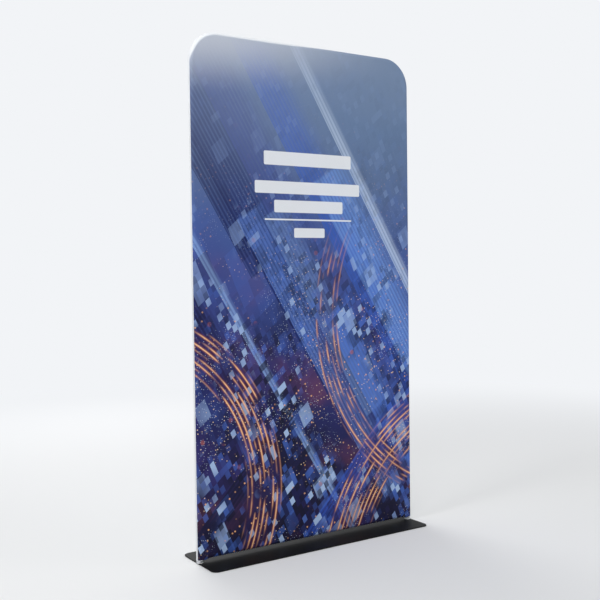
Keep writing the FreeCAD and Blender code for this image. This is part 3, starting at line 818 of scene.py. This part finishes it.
def grown(name, tree, geometry, finish, path=(), closed=False):
    """Runs the tree on a line of points, or on nothing, and keeps the result as a plain mesh."""
    solid = add_node(tree, "GeometryNodeRealizeInstances", inputs={"Geometry": geometry})
    inputs = {"Geometry": solid, "Material": finish.material}
    coated = add_node(tree, "GeometryNodeSetMaterial", inputs=inputs)
    leave = tree.nodes.new("NodeGroupOutput")
    tree.links.new(coated.socket, leave.inputs["Geometry"])
    links = [(index, index + 1) for index in range(len(path) - 1)]
    links += [(len(path) - 1, 0)] if closed else []
    line = bpy.data.meshes.new(name)
    line.from_pydata(list(path), links, [])
    piece = new_piece(name, line)
    piece.modifiers.new("grown", "NODES").node_group = tree
    plain_mesh(piece).shade_smooth()
    return piece


def binding(name, foot_x):
    """Round elastic in a circle about one foot, level with the lower edge of the cloth."""
    tree, given = new_tree(name, {
        "Path": ("NodeSocketGeometry", None),
        "Radius": ("NodeSocketFloat", binding_radius),
    })
    line = add_node(tree, "GeometryNodeMeshToCurve", inputs={"Mesh": given["Path"]})
    inputs = {"Resolution": 12, "Radius": given["Radius"]}
    section = add_node(tree, "GeometryNodeCurvePrimitiveCircle", inputs=inputs)
    inputs = {"Curve": line, "Profile Curve": section}
    pipe = add_node(tree, "GeometryNodeCurveToMesh", inputs=inputs)
    path = circle(foot_x, binding_reach, rail_low - cloth_radius)
    return grown(name, tree, pipe, elastic, path.tolist(), closed=True)


bindings = [binding("foot_binding_left", -tube_x), binding("foot_binding_right", tube_x)]
for piece in bindings:
    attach(piece, "frame")


# Zip: nylon coil on two woven tapes, sewn behind the slot between the back panel and the lower
# strip. Each row is a spiral of thick nylon thread whose turns reach in between the other row's.
coil_low, coil_high = [[round(value, 4) for value in corner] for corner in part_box("zip_coil_upper")]
coil_half, coil_front = coil_high[0], coil_low[1]
coil_depth, coil_height = coil_high[1] - coil_low[1], coil_high[2] - coil_low[2]
half_gap = coil_low[2] - zip_z
coil_pitch, coil_wire, coil_reach, coil_lean = 0.0017, 0.00036, 0.0009, 0.2
tape_half, tape_width, tape_tuck, tape_points = 0.567, 0.013, 0.0028, 141

nylon_coil = Finish("nylon_coil", paint(222, 224, 229), roughness=0.32, constants={"Coat Weight": 0.2})
spot = nylon_coil.place()
nylon_coil.feed("Roughness", 0.26 + nylon_coil.noise(spot, scale=400.0) * 0.16)
nylon_coil.bump(nylon_coil.noise(spot, scale=1800.0), strength=0.1, distance=0.0001)

tape_weave = Finish("tape_weave", paint(226, 228, 234), roughness=0.75, constants={"Sheen Weight": 0.15})
inputs = {"Vector": tape_weave.place(), "Scale": 320.0, "Distortion": 1.5}
ribs = tape_weave.add("ShaderNodeTexWave", {"bands_direction": "X"}, inputs)
tape_weave.bump(ribs, strength=0.4, distance=0.0002)


def coil_row(name, direction, shift):
    """One row of the coil, above (1) or below (-1) the zip's centreline."""
    tree, given = new_tree(name, {
        "Pitch": ("NodeSocketFloat", coil_pitch),
        "Turns": ("NodeSocketInt", round(2 * coil_half / coil_pitch) - 1),
        "Wire Radius": ("NodeSocketFloat", coil_wire),
    })
    turn_height = coil_height + coil_reach
    z = zip_z + direction * (half_gap - coil_reach + turn_height / 2)
    start = (-coil_half + coil_pitch * (0.75 + shift), coil_front + coil_depth / 2, z)
    step = add_node(tree, "ShaderNodeCombineXYZ", inputs={"X": given["Pitch"]})
    inputs = {"Count": given["Turns"], "Start Location": start, "Offset": step}
    line = add_node(tree, "GeometryNodeMeshLine", {"mode": "OFFSET"}, inputs)

    # One turn: a circle drawn out to the row's depth and height, and leant along the row
    inputs = {"Resolution": 12, "Radius": 1.0}
    loop = add_node(tree, "GeometryNodeCurvePrimitiveCircle", inputs=inputs)
    half_depth = coil_depth / 2 - given["Wire Radius"]
    half_height = turn_height / 2 - given["Wire Radius"]
    size = add_node(tree, "ShaderNodeCombineXYZ", inputs={"X": half_depth, "Y": half_height, "Z": 1.0})
    loop = add_node(tree, "GeometryNodeTransform", inputs={"Geometry": loop, "Scale": size})
    inputs = {"Geometry": loop, "Rotation": (math.pi / 2, 0.0, math.pi / 2 + coil_lean)}
    loop = add_node(tree, "GeometryNodeTransform", inputs=inputs)
    inputs = {"Resolution": 6, "Radius": given["Wire Radius"]}
    section = add_node(tree, "GeometryNodeCurvePrimitiveCircle", inputs=inputs)
    inputs = {"Curve": loop, "Profile Curve": section}
    turn = add_node(tree, "GeometryNodeCurveToMesh", inputs=inputs)
    inputs = {"Points": line, "Instance": turn}
    row = add_node(tree, "GeometryNodeInstanceOnPoints", inputs=inputs)
    return grown(name, tree, row, nylon_coil)


def tape(name, direction):
    """Woven tape: a thin edge tucked behind the coil, a bead beside it, then a flat band."""
    profile = (
        # reach from the coil's outer side, depth behind the coil's front
        (-tape_tuck, -0.00002), (-0.0001, -0.00002), (0.0, 0.0), (0.0, 0.0006), (0.0009, 0.0006),
        (0.0014, 0.0005), (0.0125, 0.0005), (tape_width, 0.0004), (tape_width, 0.0001),
        (0.0125, 0.0), (0.0014, 0.0), (0.0002, -0.00036), (-tape_tuck, -0.00036),
    )
    near = zip_z + direction * (half_gap + coil_height)
    section = [(coil_front + depth, near + direction * reach) for reach, depth in profile]
    xs = np.linspace(-tape_half, tape_half, tape_points)
    rows = np.array([[(x, y, z) for y, z in section] for x in xs])
    mesh = bpy.data.meshes.new(name)
    mesh.from_pydata(rows.reshape(-1, 3).tolist(), [], sleeve(rows, direction))
    mesh.materials.append(tape_weave.material)
    return new_piece(name, mesh)


zip_halves = (("upper", 1, back), ("lower", -1, strip))
for place, direction, carrier in zip_halves:
    row = coil_row(f"zip_coil_{place}_turns", direction, 0.25 * direction)
    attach(row, "frame")
    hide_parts(f"zip_coil_{place}")
    band = tape(f"zip_tape_{place}_weave", direction)
    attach(band, "frame")
    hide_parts(f"zip_tape_{place}")


# Stitching: two rows of lockstitch on each side of the zip hold the tapes behind the cloth.
# The rows, and the foot bindings, are listed with the white panel that they are sewn to.
stitch_length, stitch_pitch, thread_radius, thread_lift = 0.0028, 0.0038, 0.0003, 0.00008
stitched_half, row_reach = 0.559, {"near": 0.007, "far": 0.0127}

thread = Finish("thread", paint(214, 217, 224), roughness=0.5)
spot = thread.place()
thread.feed("Roughness", 0.45 + thread.noise(spot, scale=600.0) * 0.2)
thread.bump(thread.noise(spot, scale=3000.0), strength=0.3, distance=0.0001)


def stitches(name, path):
    """Row of stitches along an open line of points."""
    tree, given = new_tree(name, {
        "Path": ("NodeSocketGeometry", None),
        "Stitch Length": ("NodeSocketFloat", stitch_length),
        "Pitch": ("NodeSocketFloat", stitch_pitch),
        "Thread Radius": ("NodeSocketFloat", thread_radius),
    })
    curve = add_node(tree, "GeometryNodeMeshToCurve", inputs={"Mesh": given["Path"]})
    inputs = {"Curve": curve, "Length": given["Pitch"]}
    points = add_node(tree, "GeometryNodeCurveToPoints", {"mode": "LENGTH"}, inputs)
    inputs = {"Vector": points.output("Tangent")}
    aligned = add_node(tree, "FunctionNodeAlignRotationToVector", {"axis": "X"}, inputs)
    inputs = {"Segments": 6, "Rings": 5, "Radius": 1.0}
    ball = add_node(tree, "GeometryNodeMeshUVSphere", inputs=inputs)
    half_length, flat = given["Stitch Length"] * 0.5, given["Thread Radius"] * 0.6
    inputs = {"X": half_length, "Y": flat, "Z": given["Thread Radius"]}
    size = add_node(tree, "ShaderNodeCombineXYZ", inputs=inputs)
    stitch = add_node(tree, "GeometryNodeTransform", inputs={"Geometry": ball, "Scale": size})
    inputs = {"Points": points, "Instance": stitch, "Rotation": aligned}
    row = add_node(tree, "GeometryNodeInstanceOnPoints", inputs=inputs)
    return grown(name, tree, row, thread, path.tolist())


sewn_on = {back: [], strip: list(bindings)}
x = np.linspace(-stitched_half, stitched_half, 120)
for place, direction, carrier in zip_halves:
    for name, reach in row_reach.items():
        z = np.full(len(x), zip_z + direction * reach)
        lift = pull_flat(x, z) if carrier is back else np.zeros(len(x))
        path = np.column_stack([x, cloth_radius + lift + thread_lift, z])
        row = stitches(f"stitching_{place}_{name}", path)
        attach(row, "frame")
        sewn_on[carrier].append(row)


# Slider, pull and end stops: zinc castings plated with nickel, smooth and bright. The slider and
# its pull ride on bodies of their own.
nickel = Finish("nickel_plate", paint(190, 190, 192), roughness=0.18, metallic=1.0)
spot = nickel.place()
nickel.feed("Roughness", 0.12 + nickel.noise(spot, scale=500.0, detail=3.0) * 0.2)
nickel.bump(nickel.noise(spot, scale=1500.0), strength=0.08, distance=0.0001)
dress(nickel, "zip_slider", "zip_pull", "zip_stops")


# Studio: pale floor and backdrop in one colour, broad lamps in front and behind, a small one
# over the left end, an even sky, and the camera at the photograph's angle.
backdrop = paint(242, 244, 247)
floor_tint, sky_tint, sky_strength = (0.82, 0.825, 0.83, 1.0), (0.97, 0.985, 1.0, 1.0), 0.5
floor_reach, fade_near, fade_far = 40.0, 1.6, 6.0


def is_seen(tree):
    """1 for what the camera sees, straight or in a gloss or glass, and 0 for light on the object."""
    camera_ray = add_node(tree, "ShaderNodeLightPath", output="Is Camera Ray")
    glossy, through = camera_ray.output("Is Glossy Ray"), camera_ray.output("Is Transmission Ray")
    return camera_ray.math("MAXIMUM", glossy).math("MAXIMUM", through)


# Far off, the floor takes the backdrop's own colour, so that no horizon shows
floor_paint = Finish("floor_paint", floor_tint, roughness=0.9)
away = floor_paint.add("ShaderNodeVectorMath", {"operation": "LENGTH"}, {0: floor_paint.place()}, "Value")
plain = floor_paint.add("ShaderNodeEmission", inputs={"Color": backdrop, "Strength": 1.0})
lit = Signal(floor_paint.tree, floor_paint.shader.outputs["BSDF"])
share = away.rise(fade_near, fade_far) * is_seen(floor_paint.tree)
blended = floor_paint.add("ShaderNodeMixShader", inputs={0: share, 1: lit, 2: plain})
floor_surface = floor_paint.tree.nodes["Material Output"].inputs["Surface"]
floor_paint.tree.links.new(blended.socket, floor_surface)

corners = [(x * floor_reach, y * floor_reach, 0.0) for x, y in ((-1, -1), (1, -1), (1, 1), (-1, 1))]
floor_mesh = bpy.data.meshes.new("floor")
floor_mesh.from_pydata(corners, [], [(0, 1, 2, 3)])
floor_mesh.materials.append(floor_paint.material)
floor = new_piece("floor", floor_mesh)


def lamp(name, place, target, size, watts):
    light = bpy.data.lights.new(name, "AREA")
    light.shape, light.size, light.energy = "DISK", size, watts
    holder = new_piece(name, light)
    holder.location = place
    holder.rotation_euler = (Vector(target) - Vector(place)).to_track_quat("-Z", "Y").to_euler()


lamp("key_lamp", place=(-3.6, -4.2, 4.4), target=(0.0, 0.0, 1.1), size=3.5, watts=125.0)
lamp("fill_lamp", place=(4.2, -3.4, 2.6), target=(0.0, 0.0, 1.0), size=3.0, watts=42.0)
lamp("back_lamp", place=(0.6, 5.2, 3.4), target=(0.0, 0.0, 1.1), size=4.0, watts=125.0)
lamp("edge_lamp", place=(-2.4, -0.3, 4.6), target=(-0.5, 0.0, 2.3), size=1.0, watts=45.0)

world = bpy.data.worlds.new("studio")
bpy.context.scene.world = world
world.use_nodes = True
sky = world.node_tree
seen = is_seen(sky)
tint = add_node(sky, "ShaderNodeMix", {"data_type": "RGBA"}, {0: seen, 6: sky_tint, 7: backdrop}, 2)
strength = seen * (1.0 - sky_strength) + sky_strength
sky.links.new(tint.socket, sky.nodes["Background"].inputs["Color"])
sky.links.new(strength.socket, sky.nodes["Background"].inputs["Strength"])

camera_place = Vector((-2.2889, -3.4262, 1.2712))
look, upward = Vector((0.5471, 0.8364, -0.0343)).normalized(), Vector((0.0295, 0.0217, 0.9993))
focal_pixels, photo_pixels = 884.4, 600
sideways = look.cross(upward).normalized()
upward = sideways.cross(look)
lens = bpy.data.cameras.new("camera")
lens.sensor_width = 36.0
lens.lens = focal_pixels / photo_pixels * lens.sensor_width
camera = new_piece("camera", lens)
turned_to_look = Matrix((sideways, upward, -look)).transposed().to_4x4()
camera.matrix_world = Matrix.Translation(camera_place) @ turned_to_look
bpy.context.scene.camera = camera
bpy.context.scene.view_settings.view_transform = "Standard"

bpy.context.view_layer.update()
